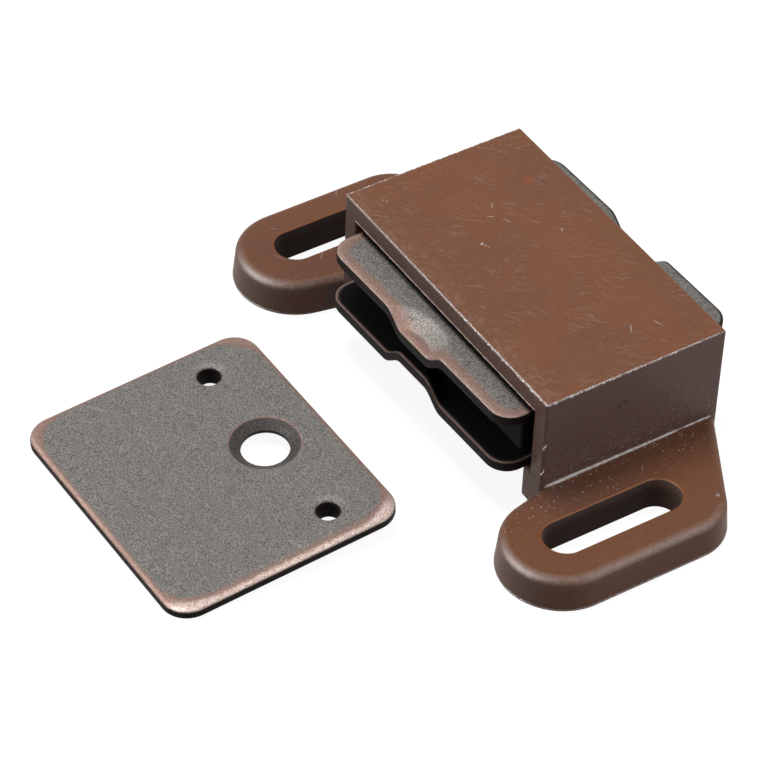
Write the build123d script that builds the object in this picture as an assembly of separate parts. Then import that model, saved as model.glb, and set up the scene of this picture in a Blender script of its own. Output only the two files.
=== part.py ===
"""Magnetic catch: a moulded housing with a floating magnet pack, and its loose strike plate.

Millimetres, +Z up from the surface that the catch is screwed to, front towards -Y.
The origin lies midway between the two screw slots, on the mounting face.
"""

import os
from math import acos, atan2, cos, degrees, pi, radians, sin

from build123d import *

# Magnet pack: one ferrite block between two pressed steel pole plates
plate_width = 32.2
plate_thickness = 1.25
plate_corner = 2.5
plate_edge_break = 0.2
plate_nose = 3.45
magnet_width = 30.0
magnet_thickness = 5.2
magnet_end_gap = 0.85
magnet_chamfer = 0.4

# Hollow pressed into the middle of each plate's front and back edge
hollow_depth = 1.7
hollow_half_length = 5.2
hollow_reach = 3.0
hollow_floor = 0.42
hollow_steps = 9

# Housing: a bridge that is open at the front, the back and underneath
housing_depth = 22.3
wall = 2.1
roof = 2.3
outer_edge_round = 0.3
side_clearance = 0.8
pack_headroom = 0.6
ledge_height = 5.0
ledge_overlap = 0.4
ledge_foot_relief = 0.6

# Float of the pack: in and out of the housing, and twisted between its side ribs
float_travel = 0.8
float_twist = 2.0
rest_forward = 0.35
rest_twist = 1.5
rib_length = 4.0
rib_engagement = 0.65
rib_tip_clearance = 0.4
rib_side_clearance = 0.1

# Ears and their screw slots
ear_thickness = 4.0
ear_projection = 13.45
ear_radius = 6.7
ear_front_margin = 0.3
ear_back_radius = 5.6
ear_back_margin = 1.4
ear_draft = 5.0
ear_edge_round = 1.0
flash_bead_radius = 0.25
flash_bead_inset = 0.5
ear_root_inset = 0.5
slot_width = 4.6
slot_travel = 11.7
slot_offset = 6.95
slot_setback = 4.2

# Strike plate, lying loose in front of the catch on its two pierced nibs
strike_length = 32.0
strike_width = 27.3
strike_thickness = 1.25
strike_corner = 3.0
strike_edge_round = 0.6
strike_hole_radius = 2.6
strike_sink_radius = 3.8
strike_sink_depth = 0.75
strike_hole_inset = 7.1
nib_spacing = 23.4
nib_inset = 6.8
nib_length = 1.1
nib_bore_radius = 1.2
nib_wall = 0.35
nib_root_flare = 0.5
nib_lead_in = 0.3
strike_distance = 12.6
strike_shift = -2.3
strike_turn = 0.5

# Sizes that follow from the ones above
inner_half = plate_width / 2 + side_clearance
housing_half = inner_half + wall
pack_height = 2 * plate_thickness + magnet_thickness
roof_underside = ledge_height + pack_height + pack_headroom
housing_height = roof_underside + roof
front_y = -slot_setback
back_y = front_y + housing_depth
middle_y = (front_y + back_y) / 2
pack_y = middle_y - rest_forward
plate_length = housing_depth + 2 * plate_nose
magnet_length = plate_length - 2 * (hollow_reach + magnet_end_gap)
slot_x = housing_half + slot_offset
ear_side = housing_half + ear_projection
rib_tip_x = plate_width / 2 - rib_engagement
notch_floor_x = rib_tip_x - rib_tip_clearance
twist_sweep = plate_width / 2 * float_twist * pi / 180
notch_half = rib_length / 2 + float_travel + twist_sweep + rib_side_clearance


def slot_outline(x, width):
    """A round-ended strip along Y, level with the screw slots, at x."""
    return Pos(x, 0) * SlotCenterToCenter(slot_travel, width, rotation=90)


def tangent_point(corner, centre, radius, turn):
    """Where a straight edge from the corner meets the circle; turn picks one of the two sides."""
    across = corner - centre
    angle = radians(across.get_signed_angle(Vector(1, 0, 0), Vector(0, 0, -1)))
    angle += turn * acos(radius / across.length)
    return centre + Vector(cos(angle), sin(angle)) * radius


def ear():
    """The right ear: a rounded tongue whose ends run straight in to the housing's lower corners."""
    front_round = Vector(ear_side - ear_radius, -slot_travel / 2 - ear_front_margin)
    back_round = Vector(ear_side - ear_back_radius, slot_travel / 2 + ear_back_margin)
    front_corner = Vector(housing_half - ear_root_inset, front_y)
    back_corner = Vector(housing_half, back_y)
    web = Polygon(
        Vector(inner_half, front_y),
        front_corner,
        tangent_point(front_corner, front_round, ear_radius, 1),
        front_round,
        Vector(ear_side, front_round.Y),
        Vector(ear_side, back_round.Y),
        back_round,
        tangent_point(back_corner, back_round, ear_back_radius, -1),
        back_corner,
        Vector(inner_half, back_y),
        align=None,
    )
    outline = web + Pos(front_round) * Circle(ear_radius) + Pos(back_round) * Circle(ear_back_radius)
    body = extrude(outline, ear_thickness, taper=ear_draft)
    return fillet(body.edges().group_by(Axis.Z)[-1], ear_edge_round)


def flash_bead():
    """The thin bead that the mould leaves along the corner between the side wall and the ear."""
    bead = Cylinder(flash_bead_radius, housing_depth - 2 * flash_bead_inset)
    return Pos(housing_half, middle_y, ear_thickness) * Rot(90, 0, 0) * bead


def bridge():
    """The housing's box with its top edges rounded, before the pack's channel is cut through it."""
    block = Box(2 * housing_half, housing_depth, housing_height, align=(Align.CENTER, Align.MIN, Align.MIN))
    return Pos(0, front_y, 0) * fillet(block.edges().group_by(Axis.Z)[-1], outer_edge_round)


def channel():
    """The space that the pack sits in: wide above the ledges, narrower between them."""
    wide = Pos(0, middle_y, (ledge_height + roof_underside) / 2) * Box(
        2 * inner_half, 2 * housing_depth, roof_underside - ledge_height
    )
    narrow = Pos(0, middle_y, ledge_height / 2) * Box(
        plate_width - 2 * ledge_overlap, 2 * housing_depth, 2 * ledge_height
    )
    foot = Pos(0, middle_y, 0) * Box(2 * inner_half, 2 * housing_depth, 2 * ledge_foot_relief)
    return wide + narrow + foot


def guide_ribs():
    """Two upright ribs, one on each side wall, that stand in the pole plates' side notches."""
    reach = inner_half - rib_tip_x
    rib = Box(reach, rib_length, roof_underside - ledge_height, align=(Align.MAX, Align.CENTER, Align.MIN))
    right = Pos(inner_half, middle_y, ledge_height) * rib
    return right + mirror(right, Plane.YZ)


def housing():
    """The moulded case: bridge, ledges, guide ribs and two slotted ears in one piece."""
    case = bridge()
    right_ear = ear()
    case += [right_ear, mirror(right_ear, Plane.YZ)]
    case += [flash_bead(), mirror(flash_bead(), Plane.YZ)]
    case = case - channel() + guide_ribs()
    for side in (-1, 1):
        case -= extrude(slot_outline(side * slot_x, slot_width), ear_thickness, both=True)
    return case


def pressed_hollow():
    """The bowl that the press leaves in a pole plate: rings of wall that follow a cosine down to its floor."""
    sections = []
    for step in range(hollow_steps):
        part_way = step / (hollow_steps - 1)
        drop = hollow_depth * (1 - cos(pi * part_way)) / 2
        share = 1 - (1 - hollow_floor) * part_way
        sections.append(Pos(0, 0, -drop) * Ellipse(hollow_half_length * share, hollow_reach * share))
    return loft(sections, ruled=True)


def pole_plate():
    """The upper pole plate on its own centre, with its flat underside at z = 0."""
    outline = RectangleRounded(plate_width, plate_length, plate_corner)
    notch = Rectangle(2 * (plate_width / 2 - notch_floor_x), 2 * notch_half)
    for side in (-1, 1):
        outline -= Pos(side * plate_width / 2, 0) * notch
    sheet = extrude(outline, plate_thickness)
    sheet = chamfer(sheet.edges().group_by(Axis.Z)[-1], plate_edge_break)
    prism = Pos(0, 0, -hollow_depth) * extrude(outline, hollow_depth + plate_thickness)
    hollow = pressed_hollow()
    for end in (-1, 1):
        bulge = Pos(0, end * plate_length / 2, 0) * hollow
        sheet = sheet + (bulge & prism) - Pos(0, 0, plate_thickness) * bulge
    return sheet


def magnet():
    """The ferrite block between the pole plates, clear of their pressed hollows."""
    block = Box(magnet_width, magnet_length, magnet_thickness, align=(Align.CENTER, Align.CENTER, Align.MIN))
    return chamfer(block.edges().filter_by(Axis.Z), magnet_chamfer)


def strike_plate():
    """The strike plate lying flat, with its underside at z = 0 and its rear long edge on y = 0."""
    outline = Pos(0, -strike_width / 2) * RectangleRounded(strike_length, strike_width, strike_corner)
    sheet = extrude(outline, strike_thickness)
    sheet = fillet(sheet.edges().group_by(Axis.Z)[-1], strike_edge_round)
    cone = Cone(
        strike_hole_radius,
        strike_sink_radius,
        strike_sink_depth,
        align=(Align.CENTER, Align.CENTER, Align.MAX),
    )
    screw = Pos(0, -strike_hole_inset, 0) * Cylinder(strike_hole_radius, 4 * strike_thickness)
    sheet = sheet - screw - Pos(0, -strike_hole_inset, strike_thickness) * cone
    tip_radius = nib_bore_radius + nib_wall
    nib = Cone(tip_radius, tip_radius + nib_root_flare, nib_length, align=(Align.CENTER, Align.CENTER, Align.MAX))
    lead = Cone(
        nib_bore_radius,
        nib_bore_radius + nib_lead_in,
        nib_lead_in,
        align=(Align.CENTER, Align.CENTER, Align.MAX),
    )
    bore = Cylinder(nib_bore_radius, 4 * (strike_thickness + nib_length))
    for side in (-1, 1):
        place = Pos(side * nib_spacing / 2, -nib_inset, 0)
        sheet = sheet + place * nib - place * bore - place * Pos(0, 0, strike_thickness) * lead
    return sheet


def strike_resting_place():
    """Lean the strike plate on its nibs, with its front edge down, and set it before the catch."""
    front_edge_to_tip = strike_width - nib_inset - nib_bore_radius - nib_wall
    tilt = degrees(atan2(nib_length, front_edge_to_tip))
    pivot_on_floor = Rot(tilt, 0, 0) * Pos(0, strike_width, 0)
    turned = Rot(0, 0, strike_turn) * pivot_on_floor
    return Pos(strike_shift, front_y - strike_distance - strike_width, 0) * turned


plate = pole_plate()
twisted = Pos(0, pack_y, 0) * Rot(0, 0, rest_twist)
pieces = {
    "housing": housing(),
    "magnet": Pos(0, pack_y, ledge_height + plate_thickness) * magnet(),
    "upper_pole_plate": twisted * Pos(0, 0, ledge_height + plate_thickness + magnet_thickness) * plate,
    "lower_pole_plate": twisted * Pos(0, 0, ledge_height + plate_thickness) * mirror(plate, Plane.XY),
    "strike_plate": strike_resting_place() * strike_plate(),
}

os.makedirs("parts", exist_ok=True)
for name, piece in pieces.items():
    export_step(piece, f"parts/{name}.step")
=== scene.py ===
"""Magnetic catch: the shown pieces, finishes, floor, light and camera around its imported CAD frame.

Metres, +Z up from the mounting face, front towards -Y, as in the frame. Each property group holds the
sizes and colours that a user would change, each operator makes one piece or group of like pieces, and
main() calls them in order.
"""

import math
from functools import reduce

import bmesh
import bpy
import numpy as np
from mathutils import Matrix, Vector


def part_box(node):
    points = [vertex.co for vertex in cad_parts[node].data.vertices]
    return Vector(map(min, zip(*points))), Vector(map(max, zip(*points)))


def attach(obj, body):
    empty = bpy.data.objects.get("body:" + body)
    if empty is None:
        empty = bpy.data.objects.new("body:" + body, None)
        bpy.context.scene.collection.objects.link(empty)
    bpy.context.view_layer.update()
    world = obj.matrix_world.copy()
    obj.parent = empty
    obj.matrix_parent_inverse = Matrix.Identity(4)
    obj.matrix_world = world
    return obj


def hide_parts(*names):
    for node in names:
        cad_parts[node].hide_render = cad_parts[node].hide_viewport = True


bl_info = {
    "name": "Magnetic catch",
    "version": (1, 0, 0),
    "blender": (4, 2, 0),
    "location": "3D View > Sidebar > Catch",
    "description": "Makes the shown pieces of a magnetic catch and its strike plate",
    "category": "Object",
}

MM = 0.001
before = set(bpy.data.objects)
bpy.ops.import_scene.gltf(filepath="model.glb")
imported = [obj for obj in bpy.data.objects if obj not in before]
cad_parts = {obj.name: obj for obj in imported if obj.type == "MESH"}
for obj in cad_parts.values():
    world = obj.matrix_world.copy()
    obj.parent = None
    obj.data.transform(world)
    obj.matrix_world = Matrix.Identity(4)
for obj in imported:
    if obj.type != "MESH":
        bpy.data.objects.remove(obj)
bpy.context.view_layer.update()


def box_of(node):
    """The lowest and highest corner of a CAD node as two arrays."""
    low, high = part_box(node)
    return np.array(low), np.array(high)


SIDE_X, BACK_Y, TOP_Z = box_of("housing")[1]
UPPER_LOW, UPPER_HIGH = box_of("upper_pole_plate")
LOWER_LOW, LOWER_HIGH = box_of("lower_pole_plate")
MAGNET_LOW, MAGNET_HIGH = box_of("magnet")
STRIKE_LOW, STRIKE_HIGH = box_of("strike_plate")
# The bridge's front face, before the origin between the screw slots, and half the width over its side walls
FRONT_Y = -4.2 * MM
HALF_WIDTH = 19.0 * MM
# Points closer than this are merged, and edges sharper than this are shown sharp
MERGE_DISTANCE = 2e-7
SHARP_ANGLE = math.radians(25)
# A distance from an edge or a rim at which the finish shows nothing of it
FAR = 9.0 * MM


# Settings


def length(name, default, description):
    """A length setting in metres."""
    return bpy.props.FloatProperty(name=name, default=default, description=description, unit="LENGTH", precision=5)


def angle(name, degrees, description):
    """An angle setting, given in degrees and kept in radians."""
    return bpy.props.FloatProperty(
        name=name, default=math.radians(degrees), description=description, subtype="ANGLE", unit="ROTATION"
    )


def share(name, default, description):
    """A plain number between 0 and 1."""
    return bpy.props.FloatProperty(name=name, default=default, description=description, min=0.0, max=1.0)


def linear(srgb):
    """Screen values from 0 to 255 as linear light."""
    c = np.array(srgb, float) / 255
    return tuple(np.where(c <= 0.04045, c / 12.92, ((c + 0.055) / 1.055) ** 2.4))


def colour(name, srgb, description):
    """A colour setting, given as 0-255 screen values and kept linear."""
    return bpy.props.FloatVectorProperty(
        name=name, default=linear(srgb), description=description, subtype="COLOR", size=3, min=0.0, max=1.0
    )


class HousingSizes(bpy.types.PropertyGroup):
    """The bridge, its ledges and guide ribs, and the ears with their slots."""

    half_width: length("Half width", HALF_WIDTH, "Half the bridge's width over its side walls")
    wall: length("Wall", 2.1 * MM, "Thickness of the side walls above the ledges")
    roof: length("Roof", 2.3 * MM, "Thickness of the roof")
    ledge_height: length("Ledge height", 5.0 * MM, "Height of the ledges that carry the pack")
    ledge_width: length("Ledge width", 1.2 * MM, "How far the ledges stand in from the walls")
    foot_relief: length("Foot relief", 0.6 * MM, "Gap under the ledges")
    rib_depth: length("Rib depth", 1.45 * MM, "How far the guide ribs stand in from the walls")
    rib_length: length("Rib length", 4.0 * MM, "Length of the guide ribs along the walls")
    edge_round: length("Edge round", 0.28 * MM, "Radius of the bridge's edges")
    ear_thickness: length("Ear thickness", 4.0 * MM, "Height of the ears")
    ear_round: length("Ear edge round", 1.0 * MM, "Radius of the ears' upper rim")
    ear_draft: angle("Ear draft", 5.0, "Lean of the ears' side walls")
    ear_radius: length("Ear radius", 6.7 * MM, "Radius of the ears' front end")
    ear_back_radius: length("Ear back radius", 5.6 * MM, "Radius of the ears' back corner")
    ear_back_margin: length("Ear back margin", 1.4 * MM, "Distance of the back corner past the slot's end centre")
    ear_front_margin: length("Ear front margin", 0.3 * MM, "Distance of the front end past the slot's end centre")
    ear_root_inset: length("Ear root inset", 0.5 * MM, "How far the ear's front corner stands in from the wall")
    slot_x: length("Slot centre", 25.95 * MM, "Distance of each slot from the middle")
    slot_width: length("Slot width", 4.6 * MM, "Width of the screw slots")
    slot_travel: length("Slot travel", 11.7 * MM, "Distance between the slot's end centres")


class PackSizes(bpy.types.PropertyGroup):
    """The pole plates and the magnet."""

    plate_width: length("Plate width", 32.2 * MM, "Width of the pole plates")
    plate_length: length("Plate length", 29.2 * MM, "Length of the pole plates from tip to tip")
    plate_thickness: length("Plate thickness", 1.25 * MM, "Thickness of the pole plates")
    plate_corner: length("Plate corner", 2.5 * MM, "Corner radius of the pole plates")
    plate_edge: length("Plate edge", 0.22 * MM, "Radius of the pole plates' outer edges")
    notch_floor: length("Notch floor", 15.05 * MM, "Distance of each side notch's floor from the middle")
    notch_half: length("Notch half length", 3.46 * MM, "Half the length of each side notch")
    twist: angle("Twist", 1.5, "How far the pack is turned at rest")
    hollow_depth: length("Hollow depth", 1.7 * MM, "Depth of the hollow pressed in each end")
    hollow_half: length("Hollow half length", 5.2 * MM, "Half the hollow's length along the edge")
    hollow_reach: length("Hollow reach", 3.0 * MM, "How far the hollow runs in from the edge")
    hollow_floor: share("Hollow floor", 0.42, "Size of the hollow's flat floor as a share of its rim")
    magnet_corner: length("Magnet corner", 0.4 * MM, "Radius of the magnet's upright edges")


class StrikeSizes(bpy.types.PropertyGroup):
    """The strike plate, its screw hole and its nibs."""

    size_x: length("Length", 32.0 * MM, "Length of the strike plate")
    size_y: length("Width", 27.3 * MM, "Width of the strike plate")
    thickness: length("Thickness", 1.25 * MM, "Thickness of the strike plate")
    corner: length("Corner", 3.0 * MM, "Corner radius of the strike plate")
    edge_round: length("Edge round", 0.62 * MM, "Radius of the rolled upper edge")
    hole_radius: length("Hole radius", 2.6 * MM, "Radius of the screw hole")
    sink_radius: length("Sink radius", 3.8 * MM, "Radius of the countersink at the top")
    sink_depth: length("Sink depth", 0.75 * MM, "Depth of the countersink")
    hole_inset: length("Hole inset", 7.1 * MM, "Distance of the screw hole from the rear edge")
    nib_spacing: length("Nib spacing", 23.4 * MM, "Distance between the pierced nibs")
    nib_inset: length("Nib inset", 6.8 * MM, "Distance of the nibs from the rear edge")
    nib_length: length("Nib length", 1.1 * MM, "How far the nibs stand out underneath")
    nib_radius: length("Nib radius", 1.2 * MM, "Radius of the pierced holes")
    nib_wall: length("Nib wall", 0.35 * MM, "Thickness of the nibs' walls at their tips")
    turn: angle("Turn", 0.5, "How far the strike plate is turned as it lies")


class Finishes(bpy.types.PropertyGroup):
    """The colours that the materials mix."""

    plastic: colour("Plastic", (117, 69, 39), "Body colour of the moulded housing")
    plastic_dark: colour("Plastic shade", (93, 58, 41), "Darker patches and specks in the plastic")
    # Warm patches are the plastic's own tone; on the slots' lips and the roof's lip this colour is painted highlight
    plastic_warm_and_highlight: colour("Warm plastic", (130, 75, 29), "Patches and thin lips where more light shines through")
    # Painted reflection: a cooler grey that stands for the floor mirrored in the side walls
    plastic_wall_reflection: colour("Side wall", (127, 100, 94), "The cooler, duller plastic of the side walls")
    plastic_stain: colour("Stain", (150, 72, 32), "A small rusty stain on the roof")
    # Painted highlight: the flash bead's bluish white
    flash_highlight: colour("Flash", (186, 186, 194), "The bead of flash along the ears' roots")
    # Scuffs, and also painted highlight on the ears' outer rounds and the roof's lip
    plastic_scuff_and_sheen: colour("Plastic scuffed", (160, 136, 124), "Dull torn edges")
    plastic_pale: colour("Plastic scuff", (216, 208, 206), "Scratches and bright torn edges")
    patina: colour("Patina", (167, 164, 158), "The antique finish of the steel plates")
    patina_dark: colour("Dark patina", (76, 76, 75), "Where the finish stayed thick")
    # The plates' dark cut walls, and also painted shade on the bridge's front face, the slots' walls and the plates'
    # bores
    dark_wall_and_shade: colour("Cut edge", (40, 33, 31), "The plates' cut outer wall and the slots' walls")
    shade: colour("Shaded inside", (14, 13, 13), "The lower plate between the poles and the slots' feet")
    copper: colour("Copper", (159, 115, 100), "Where the finish is burnished to copper")
    # Bright worn copper, also painted highlight on the strike's right end and on the hollows of the plate and round
    # the nibs
    bright: colour("Bright copper", (222, 204, 196), "Where the edge is worn brightest")
    # Darker than ferrite's own grey: painted shade for the magnet between the plates
    ferrite: colour("Ferrite", (18, 18, 19), "Body colour of the magnet")


class StageSettings(bpy.types.PropertyGroup):
    """The camera, the floor and the light tent."""

    azimuth: angle("Azimuth", 55.72, "Direction of the camera round Z, from the front towards +X")
    elevation: angle("Elevation", 42.87, "Height of the camera above the horizon")
    roll: angle("Roll", 2.64, "Turn of the camera about its own line of sight")
    distance: length("Distance", 424.5 * MM, "Distance of the camera from its target")
    target: bpy.props.FloatVectorProperty(
        name="Target",
        description="The point that the camera looks at",
        default=(-6.65 * MM, -7.12 * MM, 0.0),
        subtype="TRANSLATION",
        size=3,
        precision=5,
    )
    focal_length: bpy.props.FloatProperty(
        name="Focal length", default=189.0, description="Lens in millimetres on a 36 mm sensor"
    )
    floor_size: length("Floor size", 3.0, "Side of the square floor")
    sky: bpy.props.FloatProperty(name="Sky", default=0.08, description="Brightness of the light tent")


# Curves and surfaces


def unit(vectors):
    """Vectors made 1 long."""
    return vectors / np.linalg.norm(vectors, axis=-1, keepdims=True)


def plan(x, y):
    """Plan points from their two coordinates, either of which may be one number for all."""
    return np.stack(np.broadcast_arrays(x, y), -1)


def arc(centre, radius, start, end, count):
    """Points and outward normals on a circle: centre + radius * (cos, sin) from start to end in degrees."""
    turn = np.radians(np.linspace(start, end, count))
    out = plan(np.cos(turn), np.sin(turn))
    return np.array(centre) + radius * out, out


def rounded_corners(corners, radii, count):
    """A closed outline through anticlockwise corners, each rounded to its own radius.

    An arc touches both straight sides at radius * tan(half the turn) from the corner. Its normals point
    out of the outline, and on an inner corner the arc bends the other way.
    """
    corners = np.array(corners, float)
    before = unit(corners - np.roll(corners, 1, 0))
    after = np.roll(before, -1, 0)
    points, normals = [], []
    for corner, a, b, radius in zip(corners, before, after, radii):
        turn = math.atan2(a[0] * b[1] - a[1] * b[0], a @ b)
        side = math.copysign(1.0, turn)
        left = np.array([-a[1], a[0]]) * side
        start = corner - a * radius * math.tan(abs(turn) / 2)
        centre = start + left * radius
        first = math.degrees(math.atan2(*(start - centre)[::-1]))
        p, n = arc(centre, radius, first, first + math.degrees(turn), count)
        points.append(p)
        normals.append(n * side)
    return np.concatenate(points), np.concatenate(normals)


def divided(gaps, spacing):
    """Steps no longer than the spacing through a row of gaps: the gap of each step and its share along it."""
    steps = np.maximum(np.ceil(gaps / spacing).astype(int), 1)
    index = np.repeat(np.arange(len(gaps)), steps)
    t = (np.arange(len(index)) - np.repeat(np.cumsum(steps) - steps, steps)) / steps[index]
    return index, t[:, None]


def spaced(points, normals, spacing):
    """A closed outline and its normals with points added so that no run is longer than the spacing."""
    index, t = divided(np.linalg.norm(np.roll(points, -1, 0) - points, axis=1), spacing)
    return tuple(line[index] * (1 - t) + np.roll(line, -1, 0)[index] * t for line in (points, normals))


def lifted(xy, z):
    """Plan points raised to a height, one for all or one each."""
    return np.concatenate([xy, np.broadcast_to(np.asarray(z, float), len(xy))[:, None]], 1)


def ring_faces(rows, columns, closed_rows=False):
    """Four-sided faces, as lists, between the rows of a grid whose columns close on themselves."""
    last = rows if closed_rows else rows - 1
    r, c = np.meshgrid(np.arange(last), np.arange(columns), indexing="ij")
    r, c = r.ravel(), c.ravel()
    nr, nc = (r + 1) % rows, (c + 1) % columns
    return np.stack([r * columns + c, r * columns + nc, nr * columns + nc, nr * columns + c], 1).tolist()


def wander(s, seed, lengths):
    """A smooth uneven line about 0, mostly within 1: sines of the given wave lengths in mm, with fixed phases."""
    random = np.random.default_rng(seed)
    turns = [s / MM / size * (0.85 + 0.3 * random.random()) + random.random() for size in lengths]
    return np.sin(2 * np.pi * np.array(turns)).sum(0) / math.sqrt(len(lengths))


def smooth_step(x, low, high):
    """0 below low, 1 above high and 3t^2 - 2t^3 between them."""
    t = np.clip((x - low) / (high - low), 0, 1)
    return t * t * (3 - 2 * t)


def make_piece(name, parts, material, body, node, values=None):
    """One mesh object from (vertices, faces) parts, merged where they meet and turned outwards.

    values holds point attributes by name, each an array as long as all the parts' vertices.
    """
    offset, all_faces = 0, []
    for vertices, faces in parts:
        all_faces += [[corner + offset for corner in face] for face in faces]
        offset += len(vertices)
    mesh = bpy.data.meshes.new(name)
    mesh.from_pydata(np.concatenate([v for v, _ in parts]).tolist(), [], all_faces)
    for key, value in (values or {}).items():
        mesh.attributes.new(key, "FLOAT", "POINT").data.foreach_set("value", np.asarray(value, np.float32))
    hand = bmesh.new()
    hand.from_mesh(mesh)
    bmesh.ops.remove_doubles(hand, verts=hand.verts, dist=MERGE_DISTANCE)
    bmesh.ops.recalc_face_normals(hand, faces=hand.faces)
    hand.to_mesh(mesh)
    hand.free()
    mesh.polygons.foreach_set("use_smooth", np.ones(len(mesh.polygons), bool))
    mesh.set_sharp_from_angle(angle=SHARP_ANGLE)
    mesh.materials.append(material)
    piece = bpy.data.objects.new(name, mesh)
    bpy.context.scene.collection.objects.link(piece)
    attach(piece, body)
    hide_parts(node)


# Materials


class Wiring:
    """Adds nodes to one material; each method returns the new node's output socket."""

    def __init__(self, name):
        self.material = bpy.data.materials.get(name) or bpy.data.materials.new(name)
        self.material.use_nodes = True
        self.nodes = self.material.node_tree.nodes
        self.links = self.material.node_tree.links
        self.nodes.clear()
        self.shader = self.nodes.new("ShaderNodeBsdfPrincipled")
        output = self.nodes.new("ShaderNodeOutputMaterial")
        self.links.new(self.shader.outputs[0], output.inputs[0])
        self.place = self.nodes.new("ShaderNodeTexCoord").outputs["Object"]

    def feed(self, socket, value):
        """Link a socket, or set a plain value."""
        if isinstance(value, bpy.types.NodeSocket):
            self.links.new(value, socket)
        elif value is not None:
            socket.default_value = (*value, 1.0) if socket.type == "RGBA" and len(value) == 3 else value

    def set(self, **values):
        """Give the shader's sockets by name, with _ for each space."""
        for name, value in values.items():
            self.feed(self.shader.inputs[name.replace("_", " ")], value)

    def add(self, kind, **entries):
        """A new node of a kind with its inputs given by name, with _ for each space."""
        node = self.nodes.new("ShaderNode" + kind)
        for name, value in entries.items():
            self.feed(node.inputs[name.replace("_", " ")], value)
        return node

    def math(self, operation, a, b=None):
        """One step of arithmetic."""
        node = self.add("Math")
        node.operation = operation
        self.feed(node.inputs[0], a)
        self.feed(node.inputs[1], b)
        return node.outputs[0]

    def times(self, *values):
        """The product of several values."""
        return reduce(lambda a, b: self.math("MULTIPLY", a, b), values)

    def largest(self, *values):
        """The largest of several values."""
        return reduce(lambda a, b: self.math("MAXIMUM", a, b), values)

    def between(self, value, low, high, to_low=0.0, to_high=1.0):
        """Smooth step of the value from low to high."""
        node = self.add("MapRange")
        node.interpolation_type = "SMOOTHSTEP"
        for socket, entry in zip(node.inputs, (value, low, high, to_low, to_high)):
            self.feed(socket, entry)
        return node.outputs[0]

    def mix(self, share_of_b, a, b):
        """Colour a with a share of colour b."""
        node = self.add("Mix")
        node.data_type = "RGBA"
        for index, entry in zip((0, 6, 7), (share_of_b, a, b)):
            self.feed(node.inputs[index], entry)
        return node.outputs[2]

    def attribute(self, name):
        """A point attribute of the piece, 0 where the piece has none of that name."""
        node = self.add("Attribute")
        node.attribute_name = name
        return node.outputs["Fac"]

    def axis(self, vector, index):
        """One of the three numbers of a vector."""
        return self.add("SeparateXYZ", Vector=vector).outputs[index]

    def mapped(self, vector, turn=(0, 0, 0), scale=(1, 1, 1), shift=(0, 0, 0)):
        """A place scaled, then turned, then shifted."""
        return self.add("Mapping", Vector=vector, Rotation=turn, Scale=scale, Location=shift).outputs[0]

    def noise(self, size, detail=2.0, rough=0.5, shift=0.0):
        """Noise whose main lumps are about size across."""
        place = self.mapped(self.place, shift=(shift, shift, shift))
        return self.add("TexNoise", Vector=place, Scale=1 / size, Detail=detail, Roughness=rough).outputs["Fac"]

    def cells(self, size, vector=None):
        """Distance to the nearest of scattered points about size apart, and a random value for each."""
        node = self.add("TexVoronoi", Vector=vector or self.place, Scale=1 / size)
        return node.outputs["Distance"], self.axis(node.outputs["Color"], 0)

    def strokes(self, turn, size, width, kept, bend, seed):
        """Thin scratches in one direction: the cores of cells stretched to size by width, a share of them kept.

        A slow noise pushes them aside by up to bend.
        """
        warp = self.add("TexNoise", Vector=self.mapped(self.place, shift=(seed, 0, 0)), Scale=1 / (6 * MM))
        pushed = self.add("VectorMath")
        pushed.operation = "MULTIPLY_ADD"
        for socket, entry in zip(pushed.inputs, (warp.outputs["Color"], (bend, bend, bend), self.place)):
            self.feed(socket, entry)
        shift = (seed, 2.3 * seed, 0.7 * seed)
        turned = self.mapped(pushed.outputs[0], turn=(0, 0, math.radians(turn)), shift=shift)
        core = 0.3
        across = 2 * core / width
        distance, chance = self.cells(1.0, self.mapped(turned, scale=(2 * core / size, across, across)))
        return self.times(self.between(distance, core, 0.55 * core), self.between(chance, 1 - kept, 1 - 0.7 * kept))

    def spot(self, point, radius):
        """1 at a point given in mm, falling unevenly to 0 at about the radius in mm from it."""
        node = self.add("VectorMath")
        node.operation = "DISTANCE"
        self.feed(node.inputs[0], self.place)
        node.inputs[1].default_value = [c * MM for c in point]
        uneven = self.times(self.noise(radius * 0.8 * MM, 3, 0.7), radius * MM)
        distance = self.math("ADD", node.outputs["Value"], uneven)
        return self.between(distance, 1.3 * radius * MM, 0.55 * radius * MM)

    def bump(self, height, distance, strength):
        """Let a height tilt the shader's normal."""
        node = self.add("Bump", Strength=strength, Distance=distance, Height=height)
        self.set(Normal=node.outputs[0])


# Spots on the plastic: place in mm, radius in mm, finish, strength
SPOTS = (
    ((-11.1, 13.7, 15.6), 1.3, "plastic_stain", 0.5),
    ((-5.0, 3.85, 15.6), 0.3, "plastic_pale", 0.9),
    ((-4.6, 4.05, 15.6), 0.2, "plastic_pale", 0.7),
    ((-4.25, 4.2, 15.6), 0.15, "plastic_pale", 0.6),
    ((19.0, 5.0, 11.1), 0.6, "shade", 0.6),
    ((19.0, 5.7, 11.5), 0.6, "shade", 0.6),
    ((29.0, 11.0, 3.9), 0.42, "plastic_pale", 1.0),
)
# Scratches: direction in degrees, length in mm, share kept, seed
FINE_SCRATCHES = (
    (-34, 3.6, 0.3, 0.1),
    (-46, 4.6, 0.3, 0.5),
    (-58, 3.4, 0.3, 1.7),
    (-82, 3.0, 0.1, 2.9),
    (-6, 2.4, 0.08, 3.3),
)
BROAD_SCRATCHES = ((-60, 2.2, 0.006, 4.1), (34, 2.2, 0.006, 5.3), (-20, 2.2, 0.006, 6.2))
STEEL_SCRATCHES = ((-14, 4.0, 0.02, 0.4), (18, 4.0, 0.02, 1.1), (-35, 4.0, 0.02, 2.2))


def scratches(w, kinds, width, bend):
    """The strongest of several kinds of scratch at each place."""
    return w.largest(*(w.strokes(turn, size * MM, width, kept, bend, seed) for turn, size, kept, seed in kinds))


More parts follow.
